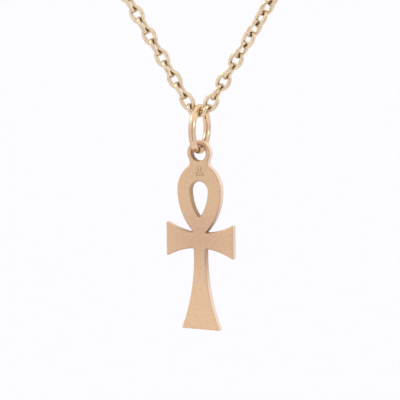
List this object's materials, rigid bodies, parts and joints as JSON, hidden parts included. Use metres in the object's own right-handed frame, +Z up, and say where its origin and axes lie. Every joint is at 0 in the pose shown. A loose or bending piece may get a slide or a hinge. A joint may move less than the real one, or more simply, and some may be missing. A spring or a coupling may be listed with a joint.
{
  "type": "ankh pendant on a cable chain necklace",
  "caption": "Flat ankh with an eyelet, hanging from a round jump ring on a cable chain that closes with a plain ring clasp.",
  "frame": {"origin": "where the chain crosses the nape of the neck, at the clasp", "axes": "+Z up, -Y towards the front of the wearer, where the pendant hangs, +X to the wearer's left"},
  "size_m": [0.1244, 0.1076, 0.1499],
  "materials": {
    "plate_gold": "satin polished gold",
    "ring_gold": "polished gold",
    "chain_gold": "polished gold",
    "clasp_gold": "polished gold"
  },
  "bodies": {
    "necklace": {"chain_left": "chain_gold", "chain_right": "chain_gold", "centre_link": "chain_gold", "clasp": "clasp_gold"},
    "ring": {"jump_ring": "ring_gold"},
    "pendant": {"ankh": "plate_gold"}
  },
  "joints": [
    {"name": "ring_swing", "type": "hinge", "parent": "necklace", "child": "ring", "pos_m": [-0.0001, -0.10109, -0.11016], "axis": [0.9947, 0.1028, 0], "range_deg": [-60, 0]},
    {"name": "pendant_swing", "type": "hinge", "parent": "ring", "child": "pendant", "pos_m": [0, -0.10208, -0.11609], "axis": [-0.1028, 0.9947, 0], "range_deg": [-60, 60]}
  ]
}
